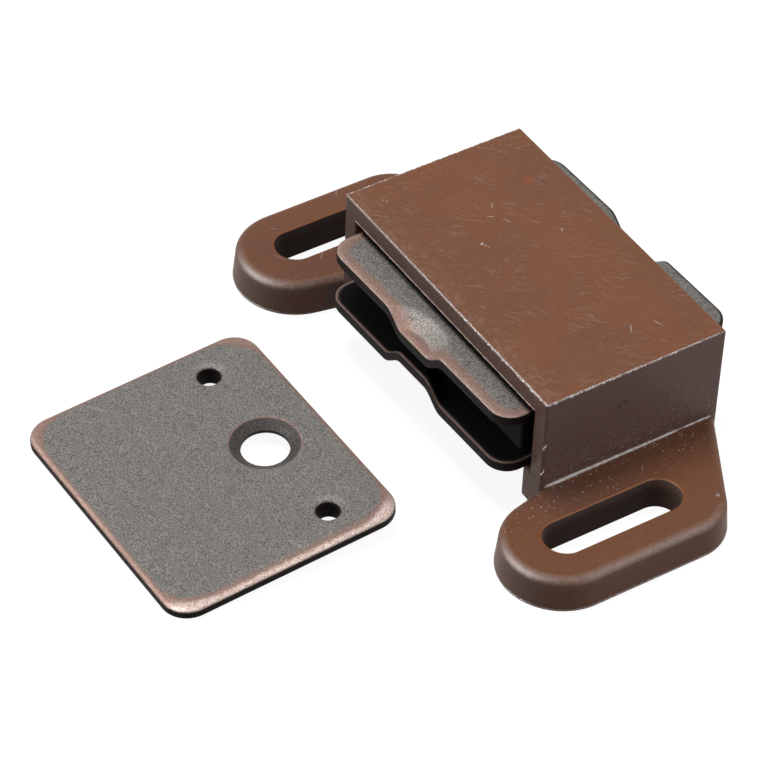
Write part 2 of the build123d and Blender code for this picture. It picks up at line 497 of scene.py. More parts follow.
def plastic_colour(w, look, from_wall, grain):
    """The bare plastic: darker and warmer patches, a painted grey reflection on the side walls, and a fine pale and
    dark grain.
    """
    base = w.mix(w.between(w.noise(7 * MM, 3), 0.3, 0.7, 0.0, 0.3), look.plastic, look.plastic_dark)
    base = w.mix(w.between(w.noise(11 * MM, 3, shift=0.013), 0.4, 0.75, 0.1, 0.55), base, look.plastic_warm_and_highlight)
    # Painted reflection: the side walls take a cooler grey for the floor that they mirror
    base = w.mix(w.between(from_wall, 0.12 * MM, 0.05 * MM, 0.0, 0.8), base, look.plastic_wall_reflection)
    base = w.mix(w.times(grain, 0.05), base, look.plastic_pale)
    dark_grain = w.between(w.noise(0.3 * MM, 3, 0.8, shift=0.4), 0.5, 0.75, 0.0, 0.35)
    return w.mix(dark_grain, base, look.plastic_dark)


def plastic_wear(w, height):
    """How much the scratches show: the fine ones most on worn patches high up, the broad ones everywhere."""
    worn = w.between(w.noise(5 * MM, 2, shift=0.07), 0.38, 0.62, 0.05, 0.16)
    worn = w.times(worn, w.between(height, 5 * MM, 14 * MM, 0.3, 1.0))
    fine = w.times(scratches(w, FINE_SCRATCHES, 0.09 * MM, 1.3 * MM), worn)
    return w.largest(fine, w.times(scratches(w, BROAD_SCRATCHES, 0.15 * MM, 1.5 * MM), 0.5))


def dust(w, across, height, from_wall):
    """Specks of many sizes round the foot of the side walls, most of them on the right."""
    distance, chance = w.cells(0.36 * MM)
    distance = w.math("SUBTRACT", distance, w.between(chance, 0.6, 1.0, -0.08, 0.1))
    speck = w.times(w.between(distance, 0.25, 0.15), w.math("GREATER_THAN", chance, 0.6))
    near = w.times(w.between(from_wall, 6 * MM, 0.5 * MM), w.between(height, 11 * MM, 4.5 * MM))
    return w.times(speck, near, w.between(across, -18 * MM, 18 * MM, 0.3, 1.0), 0.5)


def brown_plastic(look):
    """Scuffed satin plastic: warm and dark patches, many fine pale scratches, dust at the roots of the ears.

    inside is 1 on the walls of the screw slots, which are rough and carry painted shade, lip is 1 on their
    upper rim, which carries a painted warm highlight, and worn is how much the ears' outer rounds are rubbed
    pale and carry a painted highlight on the side that faces the light.
    """
    w = Wiring("brown_plastic")
    across, along, height = (w.axis(w.place, index) for index in range(3))
    from_wall = w.math("ABSOLUTE", w.math("SUBTRACT", w.math("ABSOLUTE", across), HALF_WIDTH))
    grain = w.between(w.noise(0.24 * MM, 3, 0.8), 0.3, 0.7)
    base = plastic_colour(w, look, from_wall, grain)
    marks = plastic_wear(w, height)
    base = w.mix(marks, base, look.plastic_pale)
    front = w.between(along, FRONT_Y + 3.5 * MM, FRONT_Y + 0.3 * MM)
    on_roof = w.between(height, TOP_Z - 0.4 * MM, TOP_Z - 0.1 * MM)
    chafed = w.between(w.noise(0.9 * MM, 4, 0.75), 0.42, 0.7)
    base = w.mix(w.times(front, on_roof, chafed, 0.35), base, look.plastic_scuff_and_sheen)
    for point, radius, finish, strength in SPOTS:
        base = w.mix(w.times(w.spot(point, radius), strength), base, getattr(look, finish))
    # Painted shade: the bridge's front face is darkened, more on the left than on the right
    on_front = w.between(along, FRONT_Y + 0.06 * MM, FRONT_Y + 0.03 * MM)
    on_bridge = w.between(w.math("ABSOLUTE", across), HALF_WIDTH + 0.1 * MM, HALF_WIDTH + 0.03 * MM)
    most_on_left = w.between(across, -17 * MM, 17 * MM, 0.5, 0.25)
    base = w.mix(w.times(on_front, most_on_left, on_bridge), base, look.dark_wall_and_shade)
    # Painted shade: the ears and the walls' feet are darker below 6 mm
    base = w.mix(w.between(height, 6 * MM, 4.5 * MM, 0.0, 0.35), base, look.plastic_dark)
    base = w.mix(dust(w, across, height, from_wall), base, look.plastic_pale)
    # Painted highlight: the slots' upper lips take a warm colour
    base = w.mix(w.times(w.attribute("lip"), 0.7), base, look.plastic_warm_and_highlight)
    # Painted highlight together with rub: the ears' outer rounds turn pale where they face the light
    rubbed = w.times(w.attribute("worn"), w.between(w.noise(0.5 * MM, 3, 0.75), 0.3, 0.65, 0.25, 0.55))
    base = w.mix(rubbed, base, look.plastic_scuff_and_sheen)
    # Painted shade: the slots' walls darken to near black towards their foot
    inside = w.attribute("inside")
    deep = w.mix(w.between(height, 3.8 * MM, 2.2 * MM), look.dark_wall_and_shade, look.shade)
    base = w.mix(w.times(inside, 0.92), base, deep)
    # The slots' walls are metallic so that their black isn't greyed by the white floor they would mirror
    w.set(
        Base_Color=base,
        Metallic=w.times(inside, 0.85),
        Roughness=w.largest(w.between(w.math("ADD", grain, marks), 0.0, 1.6, 0.46, 0.58), w.times(inside, 0.75)),
        Specular_IOR_Level=0.2,
    )
    w.bump(w.math("SUBTRACT", w.times(grain, 0.25), marks), 0.02 * MM, 0.4)
    return w.material


def torn_plastic(name, dull, bright):
    """The paler plastic of burrs and flash, lumpy and duller in places."""
    w = Wiring(name)
    lumps = w.between(w.noise(0.6 * MM, 3, 0.7), 0.35, 0.65)
    w.set(Base_Color=w.mix(lumps, dull, bright), Roughness=0.4)
    w.bump(w.noise(0.2 * MM, 2), 0.03 * MM, 0.4)
    return w.material


def aged_steel(look):
    """Copper plate under a grey antique finish: fine speckle, a few scratches, and edges rubbed to copper.

    The values on the points are edge_mm, which grows inwards from the edge; rub, how bright the edge
    is worn, with a painted highlight on the strike's right end; rim_mm, the distance from the screw hole's rim;
    painted_sheen, a painted highlight on a hollow's far wall and round the nibs; dull, 1 on the cut outer wall,
    painted shade in the bores and a painted dark reflection in the countersink; and inner, 1 where no light comes.
    """
    w = Wiring("antique_copper_steel")
    speckle = w.between(w.noise(0.16 * MM, 4, 0.85), 0.37, 0.63)
    base = w.mix(speckle, look.patina_dark, look.patina)
    warm = w.between(w.noise(0.25 * MM, 3, 0.8, shift=0.3), 0.52, 0.7)
    base = w.mix(w.times(warm, 0.4), base, look.copper)
    cloudy = w.between(w.noise(0.8 * MM, 3, 0.65, shift=0.6), 0.35, 0.65, 0.0, 0.16)
    base = w.mix(cloudy, base, look.patina_dark)
    base = w.mix(w.times(scratches(w, STEEL_SCRATCHES, 0.1 * MM, 0.8 * MM), 0.45), base, look.bright)
    uneven = w.math("ADD", w.attribute("edge_mm"), w.times(w.noise(0.6 * MM, 3, 0.7, shift=0.5), 0.8))
    rubbed = w.between(uneven, 1.7, 0.8)
    base = w.mix(w.times(rubbed, 0.65), base, look.copper)
    rub = w.attribute("rub")
    # Painted highlight together with real rub: worn edges and the hollows' painted sheen turn bright
    shine = w.largest(w.times(w.between(uneven, 1.0, 0.55), rub), w.times(w.attribute("painted_sheen"), 0.1))
    base = w.mix(w.times(shine, w.between(speckle, 0.05, 0.7, 0.15, 1.0)), base, look.bright)
    rim = w.between(w.math("ADD", w.attribute("rim_mm"), w.times(w.noise(0.4 * MM), 0.08)), 0.13, 0.07)
    base = w.mix(w.times(rim, 0.6), base, look.copper)
    # Dark cut walls, painted shade in the bores and a painted dark reflection in the countersink
    dull = w.attribute("dull")
    base = w.mix(dull, base, look.dark_wall_and_shade)
    inner = w.times(w.attribute("inner"), w.between(speckle, 0.7, 1.0, 0.97, 0.8))
    base = w.mix(inner, base, look.shade)
    bare = w.math("ADD", w.times(rubbed, rub, 0.12), 0.085)
    w.set(
        Base_Color=base,
        Metallic=w.times(bare, w.math("SUBTRACT", 1.0, w.largest(dull, inner))),
        Roughness=w.between(speckle, 0, 1, 0.48, 0.38),
        Specular_IOR_Level=0.03,
    )
    w.bump(speckle, 0.018 * MM, 0.8)
    return w.material


def ferrite(look):
    """Fired ferrite, darkened to near black as painted shade; matt and finely grained."""
    w = Wiring("ferrite")
    grain = w.noise(0.3 * MM, 4, 0.7)
    dark = tuple(0.55 * c for c in look.ferrite)
    w.set(Base_Color=w.mix(grain, dark, look.ferrite), Roughness=0.7, Specular_IOR_Level=0.05)
    w.bump(grain, 0.03 * MM, 0.5)
    return w.material


# Housing pieces


def touching(corner, centre, radius, side):
    """The direction in degrees, from the centre, of the point where a line from the corner touches the circle."""
    across = np.array(corner) - np.array(centre)
    return math.degrees(math.atan2(across[1], across[0]) + side * math.acos(radius / np.linalg.norm(across)))


def corner_normal(a, b):
    """The vector that moves a corner as its two sides, with outward normals a and b, move out by 1."""
    a, b = np.array(a), np.array(b)
    return (a + b) / (1 + a @ b)


def ear_outline(h):
    """The right ear's foot outline, anticlockwise: front end, outer side, back corner, then inside the wall."""
    front_centre = np.array([SIDE_X - h.ear_radius, -h.slot_travel / 2 - h.ear_front_margin])
    back_centre = np.array([SIDE_X - h.ear_back_radius, h.slot_travel / 2 + h.ear_back_margin])
    front_corner = np.array([h.half_width - h.ear_root_inset, FRONT_Y])
    back_corner = np.array([h.half_width, BACK_Y])
    first = touching(front_corner, front_centre, h.ear_radius, 1) % 360
    last = touching(back_corner, back_centre, h.ear_back_radius, -1)
    round_1, out_1 = arc(front_centre, h.ear_radius, first, 360, 40)
    round_2, out_2 = arc(back_centre, h.ear_back_radius, 0, last, 20)
    hidden_x, hidden_y = h.half_width - 0.7 * h.wall, FRONT_Y + 1.5 * MM
    points = np.concatenate(
        [[(hidden_x, hidden_y), front_corner], round_1, round_2, [back_corner, (hidden_x, BACK_Y)]]
    )
    front, back, still = (0.0, -1.0), (0.0, 1.0), (0.0, 0.0)
    normals = np.concatenate(
        [[still, corner_normal(front, out_1[0])], out_1, out_2, [corner_normal(out_2[-1], back), back]]
    )
    return spaced(points, normals, 0.45 * MM)


def ear_surface(h, side):
    """The right ear as one closed band carried round its slot; side is -1 if it will be mirrored to the left.

    The section starts at the outer foot, leans in with the draft, turns over the rim in a quarter round,
    runs level to the slot, turns down its wall and comes back under the foot. Outer points move in along
    the outline's normals, slot points lie on the slot's round-ended strip nearest to them.
    """
    outline, normals = ear_outline(h)
    lean, rim, top = math.tan(h.ear_draft), h.ear_round, h.ear_thickness
    centre_z = top - rim
    centre_in = centre_z * lean + rim / math.cos(h.ear_draft)
    foot, slot_round = 0.12 * MM, 0.2 * MM
    turn = np.linspace(h.ear_draft, math.pi / 2, 10)
    wall_z = np.linspace(foot, centre_z + rim * math.sin(h.ear_draft), 6)[:-1]
    inward = [[foot, 0.3 * foot], wall_z * lean, centre_in - rim * np.cos(turn), [centre_in + 0.06 * MM]]
    height = [[0, 0.3 * foot], wall_z, centre_z + rim * np.sin(turn), [top]]
    outer = [lifted(outline - normals * d, z) for d, z in zip(np.concatenate(inward), np.concatenate(height))]
    crest = outer[-1][:, :2]
    middle = plan(h.slot_x, np.clip(crest[:, 1], -h.slot_travel / 2, h.slot_travel / 2))
    away = unit(crest - middle)
    turn_in = np.linspace(math.pi / 2, 0, 5)
    beyond = [[slot_round + 0.08 * MM], slot_round * (1 - np.cos(turn_in)), [0.0, -0.02 * MM, foot]]
    down = [[top], top - slot_round * (1 - np.sin(turn_in)), [top / 2, foot, 0.0]]
    slot = [
        lifted(middle + away * (h.slot_width / 2 + d), z) for d, z in zip(np.concatenate(beyond), np.concatenate(down))
    ]
    level = [outer[-1] * (1 - t) + slot[0] * t for t in (0.25, 0.5, 0.75)]
    under = [slot[-1] * (1 - t) + outer[0] * t for t in (0.33, 0.67)]
    rows = np.array(outer + level + slot + under)
    values = {name: np.zeros(rows.shape[:2]) for name in ("inside", "lip", "worn")}
    # The slot's first row is level, the next five turn down over its lip, and the others are its wall
    slot_start = len(outer) + len(level)
    values["inside"][slot_start + 3 : slot_start + len(slot)] = 1.0
    # The lip rows carry a painted warm highlight
    values["lip"][slot_start + 1 : slot_start + 4] = 1.0
    # The outer round comes after two rows at the foot and those of the wall; it's rubbed pale and given a painted
    # highlight, most half way over and on the side that faces the light
    round_start = 2 + len(wall_z)
    over = np.sin(np.linspace(0, math.pi, len(turn) + 2)[1:-1])[:, None]
    toward_the_light = smooth_step(normals @ (0.83 * side, -0.56), -0.1, 0.5)
    values["worn"][round_start : round_start + len(turn)] = over * toward_the_light
    values = {name: value.ravel() for name, value in values.items()}
    return rows.reshape(-1, 3), ring_faces(len(rows), len(outline), closed_rows=True), values


def mirrored(vertices, faces):
    """The same surface on the other side of the middle plane, with its faces turned back outwards."""
    return vertices * (-1, 1, 1), [face[::-1] for face in faces]


def bridge_path(h):
    """The bridge's outer and inner line from the left foot over the roof to the right foot, point by point.

    Both lines have the same corners in the same order. A corner of no radius on one line stays a point
    while the other line goes on, as at the ledges.
    """
    x_in, z_roof = h.half_width - h.wall, TOP_Z - h.roof
    x_ledge, r = x_in - h.ledge_width, h.edge_round
    half = [
        ((h.half_width, 0.0), (x_in, 0.0), 0, 0),
        ((h.half_width, h.foot_relief), (x_in, h.foot_relief), 0, 0.5),
        ((h.half_width, h.foot_relief), (x_ledge, h.foot_relief), 0, 1.1),
        ((h.half_width, h.ledge_height), (x_ledge, h.ledge_height), 0, 1.1),
        ((h.half_width, h.ledge_height), (x_in, h.ledge_height), 0, 0.5),
        ((h.half_width, TOP_Z), (x_in, z_roof), 1.02, 0.8),
    ]
    right = [(np.array(o), np.array(i), ro * r, ri * r) for o, i, ro, ri in half]
    left = [(o * (-1, 1), i * (-1, 1), ro, ri) for o, i, ro, ri in right]
    stops = left + right[::-1]
    outer = rounded_path([s[0] for s in stops], [s[2] for s in stops])
    inner = rounded_path([s[1] for s in stops], [s[3] for s in stops])
    return outer, inner


def rounded_path(corners, radii):
    """An open line with rounded corners and the normals on its left, seven points to each corner.

    A corner that repeats the one before it takes the direction of the run that it ends.
    """
    corners = np.array(corners)
    runs = np.diff(corners, axis=0)
    sizes = np.linalg.norm(runs, axis=1)
    way = runs / np.maximum(sizes, 1e-12)[:, None]
    for i in np.flatnonzero(sizes < 1e-9):
        way[i] = way[i - 1] if i else way[i + 1]
    points, normals = [], []
    for i, (corner, radius) in enumerate(zip(corners, radii)):
        a, b = way[max(i - 1, 0)], way[min(i, len(way) - 1)]
        turn = math.atan2(a[0] * b[1] - a[1] * b[0], a @ b)
        t = np.linspace(0, turn, 7)
        normal_a = np.array([-a[1], a[0]])
        normal = np.outer(np.cos(t), normal_a) - np.outer(np.sin(t), a)
        if radius and abs(turn) > 1e-6:
            side = math.copysign(1.0, turn)
            start = corner - a * radius * math.tan(abs(turn) / 2)
            centre = start + normal_a * radius * side
            points.append(centre - normal * radius * side)
        else:
            points.append(np.repeat(corner[None], len(t), 0))
        normals.append(normal)
    return np.concatenate(points), np.concatenate(normals)


def bridge_surface(h):
    """The bridge as one closed section carried from the left foot over the roof to the right foot.

    The section has an outer and an inner face, flat ends, and a quarter round at each of its four
    edges. Rows run round the section, columns along the path.
    """
    (outer, out_n), (inner, in_n) = bridge_path(h)
    gaps = np.maximum(*(np.linalg.norm(np.diff(line, axis=0), axis=1) for line in (outer, inner)))
    index, t = divided(gaps, 0.3 * MM)
    outer, out_n, inner, in_n = (
        np.concatenate([line[index] * (1 - t) + line[index + 1] * t, line[-1:]])
        for line in (outer, out_n, inner, in_n)
    )
    r = h.edge_round
    front, back = FRONT_Y + r, BACK_Y - r
    turn = np.linspace(0, math.pi / 2, 6)
    deep, over = r * (1 - np.cos(turn)), r * np.sin(turn)
    run = np.linspace(front, back, 60)
    rows = [(outer, -out_n, 0.0, y) for y in run]
    rows += [(outer, -out_n, d, back + s) for d, s in zip(deep[1:], over[1:])]
    rows += [(inner, in_n, d, back + s) for d, s in zip(deep[::-1], over[::-1])]
    rows += [(inner, in_n, 0.0, y) for y in run[::-6][1:-1]]
    rows += [(inner, in_n, d, front - s) for d, s in zip(deep, over)]
    rows += [(outer, -out_n, d, front - s) for d, s in zip(deep[::-1], over[::-1])][:-1]
    grid = []
    for line, way, depth, y in rows:
        flat = line + way * depth
        grid.append(np.stack([flat[:, 0], np.full(len(flat), y), flat[:, 1]], 1))
    grid = np.array(grid)
    columns = grid.shape[1]
    faces = ring_faces(columns, len(rows))
    faces += [list(range(len(rows))), list(range((columns - 1) * len(rows), columns * len(rows)))]
    return grid.transpose(1, 0, 2).reshape(-1, 3), faces


def slab(low, high, bevel):
    """A block between two corners with its upright edges rounded."""
    corners = [(low[0], low[1]), (high[0], low[1]), (high[0], high[1]), (low[0], high[1])]
    outline, _ = rounded_corners(corners, [bevel] * 4, 5)
    rows = [lifted(outline, low[2]), lifted(outline, high[2])]
    count = len(outline)
    faces = ring_faces(2, count) + [list(range(count)), list(range(count, 2 * count))]
    return np.concatenate(rows), faces


def tube(path, radii, sides):
    """A round bar along a path with closed ends: circles of the given radii in planes across the path."""
    way = unit(np.gradient(path, axis=0))
    helper = np.where(np.abs(way[:, 2:]) < 0.9, (0.0, 0.0, 1.0), (1.0, 0.0, 0.0))
    a = unit(np.cross(way, helper))
    b = np.cross(way, a)
    turn = np.linspace(0, 2 * math.pi, sides, endpoint=False)
    ring = a[:, None] * np.cos(turn)[:, None] + b[:, None] * np.sin(turn)[:, None]
    points = path[:, None] + ring * np.broadcast_to(radii, len(path))[:, None, None]
    faces = ring_faces(len(path), sides)
    last = (len(path) - 1) * sides
    return points.reshape(-1, 3), faces + [list(range(sides)), list(range(last, last + sides))]


def root_flash(h):
    """The bead along each ear's root: full at the front, thinner towards the back, nearly broken near its end."""
    s = np.linspace(0.5 * MM, BACK_Y - FRONT_Y - 0.9 * MM, 200)
    full_radius, break_at, break_length = 0.28 * MM, 17.6 * MM, 0.35 * MM
    bars = []
    for side in (1, -1):
        radius = full_radius * (1 - 0.5 * (s / s[-1]) ** 1.5) * (1 + 0.1 * wander(s, 3 + side, (5.0, 2.1, 0.9)))
        radius *= 1 - 0.9 * np.exp(-(((s - break_at) / break_length) ** 2))
        radius *= smooth_step(s, 0.3 * MM, 1.2 * MM) * 0.6 + 0.4
        path = lifted(plan(side * h.half_width, FRONT_Y + s), h.ear_thickness)
        bars.append(tube(path, np.clip(radius, 0.03 * MM, 0.36 * MM), 12))
    return bars


def roof_burrs(h):
    """Ragged burrs on the roof's front, right and left edges, thickest near the front right corner.

    Each edge's radius grows with the square of the way along it, from its first to its last thickness in mm.
    """
    side = h.half_width
    bars = []
    for start, end, thick, seed in (
        ((-side, FRONT_Y), (side, FRONT_Y), (0.022, 0.12), 11),
        ((side, FRONT_Y), (side, BACK_Y), (0.125, 0.03), 12),
        ((-side, FRONT_Y), (-side, BACK_Y), (0.07, 0.02), 13),
    ):
        run = np.array(end) - start
        size = np.linalg.norm(run)
        t = np.linspace(0.004, 0.996, int(size / (0.06 * MM)))
        s = t * size
        inward = np.array([0.0, 1.0]) if run[0] else np.array([-math.copysign(1.0, start[0]), 0.0])
        uneven = wander(s, seed, (2.3, 0.9, 0.41, 0.23))
        radius = (thick[0] + (thick[1] - thick[0]) * t**2) * (1 + 0.75 * uneven) * MM
        radius = np.clip(radius, 0.012 * MM, 0.16 * MM)
        drift = (0.13 + 0.05 * wander(s, seed + 7, (1.7, 0.6, 0.33))) * MM
        flat = np.array(start) + t[:, None] * run + inward * drift[:, None]
        bars.append(tube(lifted(flat, TOP_Z - radius), radius, 6))
    return bars


def foot_flash(h):
    """The thin torn line that the mould's parting leaves round the foot of each ear."""
    outline, normals = ear_outline(h)
    keep = outline[:, 0] > h.half_width + 0.2 * MM
    outline, normals = outline[keep], normals[keep]
    order = np.argsort(np.arctan2(outline[:, 1] - 4 * MM, outline[:, 0] - h.half_width))
    outline, normals = outline[order], normals[order]
    s = np.concatenate([[0.0], np.cumsum(np.linalg.norm(np.diff(outline, axis=0), axis=1))])
    fine = np.linspace(0, s[-1], 700)
    radius = np.clip((0.09 + 0.05 * wander(fine, 21, (3.7, 1.3, 0.5, 0.3))) * MM, 0.012 * MM, 0.14 * MM)
    line, way = (np.stack([np.interp(fine, s, column) for column in values.T], 1) for values in (outline, normals))
    bar = tube(lifted(line - radius[:, None] * way, 0.24 * MM), radius, 6)
    return [bar, mirrored(*bar)]


def roof_lip(h):
    """The thin lip along the lower front edge of the roof, and two curls on the front right upright edge."""
    x = np.linspace(-h.half_width + h.wall, h.half_width - h.wall, 300)
    radius = (0.075 + 0.02 * wander(x, 31, (4.1, 1.7, 0.6))) * MM
    edge = lifted(plan(x, FRONT_Y + 0.04 * MM), TOP_Z - h.roof + 0.07 * MM)
    bars = [tube(edge, radius, 8)]
    t = np.linspace(0, 1, 24)
    swell = np.sin(math.pi * t)
    curl = plan(0.02 + 0.08 * swell, 0.05 + 0.2 * np.sin(2.4 * math.pi * t)) * MM
    for top, reach in ((10.3, 1.0), (6.8, 1.1)):
        path = lifted(curl + (h.half_width, FRONT_Y), (top - reach * t) * MM)
        bars.append(tube(path, (0.03 + 0.03 * swell) * MM, 6))
    return bars


# Pole plates, magnet and strike plate


def flat_rim(outline, normals, thickness, edge_round):
    """Rings from the underside's rim at z = 0 up the edge and over a quarter round, ready for the top face."""
    turn = np.linspace(0, math.pi / 2, 7)
    low = 0.12 * MM
    inset = np.concatenate([[low, 0.3 * low, 0.0], edge_round * (1 - np.cos(turn))])
    height = np.concatenate([[0.0, 0.3 * low, low], thickness - edge_round * (1 - np.sin(turn))])
    return [lifted(outline - normals * d, z) for d, z in zip(inset, height)]


def hollow_drop(points, s):
    """How far the pressed hollows lower the plate at each plan point.

    The drop follows a cosine of the elliptical distance from the middle of the front or back edge,
    from 0 at the hollow's rim to its full depth on the flat floor.
    """
    from_end = np.abs(points[..., 1]) - s.plate_length / 2
    distance = np.hypot(points[..., 0] / s.hollow_half, from_end / s.hollow_reach)
    part = np.clip((1 - distance) / (1 - s.hollow_floor), 0, 1)
    return s.hollow_depth * (1 - np.cos(math.pi * part)) / 2


def pole_plate(s, upper):
    """One pole plate on its own centre, with the magnet's side at z = 0, and its values for the finish.

    The outline is a rounded rectangle with a notch in each side. Rings of it shrink towards a small
    rectangle in the middle, close together near the edge, and the hollows lower every ring alike.
    """
    x, y, n, f = s.plate_width / 2, s.plate_length / 2, s.notch_half, s.notch_floor
    corners = [(x, -y), (x, -n), (f, -n), (f, n), (x, n), (x, y)]
    corners += [(-a, -b) for a, b in corners]
    small, border = 0.15 * MM, 6 * MM
    radii = [s.plate_corner, small, small, small, small, s.plate_corner] * 2
    outline, normals = spaced(*rounded_corners(corners, radii, 12), 0.3 * MM)
    rim = flat_rim(outline, normals, s.plate_thickness, s.plate_edge)
    core = np.clip(outline, (-x + border, -y + border), (x - border, y - border))
    # Shares of the way to the core: close together over the hollows' reach, wider after it
    steps = np.concatenate([np.linspace(0, 0.62, 20)[1:], np.linspace(0.62, 1, 7)[1:]])
    edge_top, edge_low = rim[-1][:, :2], rim[0][:, :2]
    top = [lifted(edge_top * (1 - t) + core * t, s.plate_thickness) for t in steps]
    under = [lifted(edge_low * (1 - t) + core * t, 0.0) for t in steps[::-1]]
    rows = np.array(under + rim + top)
    rows[..., 2] -= hollow_drop(rows, s)
    points = np.concatenate([rows.reshape(-1, 3), [(0.0, 0.0, 0.0), (0.0, 0.0, s.plate_thickness)]])
    count, middle = len(outline), len(points) - 2
    around = np.arange(count)
    following = np.roll(around, -1)
    faces = ring_faces(len(rows), count)
    for centre, row in ((middle, 0), (middle + 1, middle - count)):
        faces += np.stack([np.full(count, centre), row + around, row + following], 1).tolist()
    from_edge = np.linalg.norm(rows[..., :2] - outline, axis=2).ravel()
    values = plate_wear(s, upper, points, np.append(from_edge, [FAR, FAR]))
    if not upper:
        points[:, 2] *= -1
    return (points, faces), values


def plate_wear(s, upper, points, from_edge):
    """A pole plate's values for the finish, from the distance of each point from the plate's edge.

    The cut edge is dull, in a wider band on the rear half, which isn't rubbed to copper. The lower plate is
    in the shade inside its edge. The upper plate's front hollow carries a painted highlight on the rear left of its
    wall.
    """
    rear = points[:, 1] > 0
    dull = 1 - smooth_step(from_edge, 0.01 * MM, 0.09 * MM)
    dull = np.where(rear, np.maximum(dull, 1 - 0.9 * smooth_step(from_edge, 0.15 * MM, 0.4 * MM)), dull)
    from_edge = np.where(rear, from_edge + 1.6 * MM, from_edge)
    inner = np.zeros(len(points)) if upper else smooth_step(from_edge, 0.2 * MM, 0.5 * MM)
    # Painted highlight on the rear left of the front hollow's wall, which faces the light
    u, v = points[:, 0] / s.hollow_half, (points[:, 1] + s.plate_length / 2) / s.hollow_reach
    facing_the_light = (0.85 * v - 0.5 * u) / np.maximum(np.hypot(u, v), 1e-6)
    sunk = hollow_drop(points, s) / s.hollow_depth
    painted_sheen = 2 * np.sqrt(np.clip(sunk * (1 - sunk), 0, 1)) * smooth_step(facing_the_light, 0.0, 0.9)
    return {
        "edge_mm": from_edge / MM * (0.68 if upper else 2.6),
        "dull": np.maximum(dull, 0.9 * inner),
        "inner": inner,
        "rim_mm": np.full(len(points), FAR / MM),
        "painted_sheen": np.where(rear | (not upper), 0.0, painted_sheen),
        "rub": np.full(len(points), 0.25),
    }


def turned(points, turn, move):
    """Points turned about Z through an angle in radians, then moved."""
    return points @ np.array(Matrix.Rotation(turn, 3, "Z")).T + np.array(move)


def box_distance(points, low, high, corner):
    """Distance inside a rounded rectangle from its outline, at each plan point."""
    middle, half = (np.array(low) + high) / 2, (np.array(high) - low) / 2
    q = np.abs(points[:, :2] - middle) - half + corner
    outside = np.linalg.norm(np.maximum(q, 0), axis=1)
    return corner - outside - np.minimum(q.max(axis=1), 0)


def screw_hole(s):
    """The countersunk hole as radius and height, from the top face down to the underside."""
    top, r = s.thickness, s.hole_radius
    return [
        (s.sink_radius + 0.1 * MM, top),
        (s.sink_radius, top - 0.03 * MM),
        (s.sink_radius - 0.12 * MM, top - 0.11 * MM),
        (r + 0.06 * MM, top - s.sink_depth + 0.04 * MM),
        (r, top - s.sink_depth - 0.03 * MM),
        (r, 0.08 * MM),
        (r + 0.08 * MM, 0.0),
    ]


def pierced_nib(s):
    """A nib as radius and height: from the top face into its dimple, down the bore and up its outside."""
    top, low, r, tip = s.thickness, -s.nib_length, s.nib_radius, s.nib_radius + s.nib_wall
    return [
        (r + 1.1 * MM, top),
        (r + 0.8 * MM, top - 0.015 * MM),
        (r + 0.5 * MM, top - 0.05 * MM),
        (r + 0.2 * MM, top - 0.12 * MM),
        (r + 0.06 * MM, top - 0.25 * MM),
        (r, top - 0.4 * MM),
        (r, low + 0.06 * MM),
        (r + 0.06 * MM, low),
        (tip - 0.08 * MM, low),
        (tip, low + 0.08 * MM),
        (tip + 0.16 * MM, low / 2),
        (tip + 0.5 * MM, 0.0),
    ]


def cell_boundary(loop, runs, steps):
    """One cell's boundary: stretches of the outline joined by straight split lines of so many steps."""
    pieces = []
    part = (np.arange(1, steps) / steps)[:, None]
    for (a, b), (c, _) in zip(runs, runs[1:] + runs[:1]):
        run = loop[(a + np.arange((b - a) % len(loop) + 1)) % len(loop)]
        pieces += [run, run[-1] * (1 - part) + loop[c] * part]
    return np.concatenate(pieces)


def strike_plate(s):
    """The strike plate lying level with its underside at z = 0 and its rear edge on y = 0, and its holes.

    The outline is split at two straight lines into three cells with one hole each. A cell's face runs
    straight from its boundary to its hole, and the hole's profile of radius and height goes down its
    wall and, on the nibs, back up outside it. One rounded rim closes the outside of all three.
    """
    x, y, split, count = s.size_x / 2, s.size_y, s.nib_spacing / 4, 12
    arcs, out = rounded_corners([(-x, -y), (x, -y), (x, 0), (-x, 0)], [s.corner] * 4, count)
    splits = np.array([(-split, -y), (split, -y), (split, 0.0), (-split, 0.0)])
    before = (count, count, 3 * count, 3 * count)
    points = np.insert(arcs, before, splits, axis=0)
    normals = np.insert(out, before, [(0.0, -1.0), (0.0, -1.0), (0.0, 1.0), (0.0, 1.0)], axis=0)
    outline, normals = spaced(points, normals, 0.3 * MM)
    rim = flat_rim(outline, normals, s.thickness, s.edge_round)
    k0, k1, k2, k3 = (int(np.argmin(np.linalg.norm(outline - p, axis=1))) for p in splits)
    steps, side = int(y / (0.35 * MM)), s.nib_spacing / 2
    cells = [
        ([(k1, k2)], (side, -s.nib_inset), pierced_nib(s)),
        ([(k3, k0)], (-side, -s.nib_inset), pierced_nib(s)),
        ([(k0, k1), (k2, k3)], (0.0, -s.hole_inset), screw_hole(s)),
    ]
    parts = [(np.concatenate(rim), ring_faces(len(rim), len(outline)))]
    for runs, centre, profile in cells:
        top, under = cell_boundary(rim[-1], runs, steps), cell_boundary(rim[0], runs, steps)
        way = unit(top[:, :2] - centre)
        hole = [lifted(np.array(centre) + way * radius, z) for radius, z in profile]
        rows = [top * (1 - t) + hole[0] * t for t in np.linspace(0, 1, 8)[:-1]] + hole
        rows += [hole[-1] * (1 - t) + under * t for t in np.linspace(0, 1, 5)[1:]]
        parts.append((np.concatenate(rows), ring_faces(len(rows), len(top))))
    return parts, strike_wear(s, np.concatenate([v for v, _ in parts]), [centre for _, centre, _ in cells])


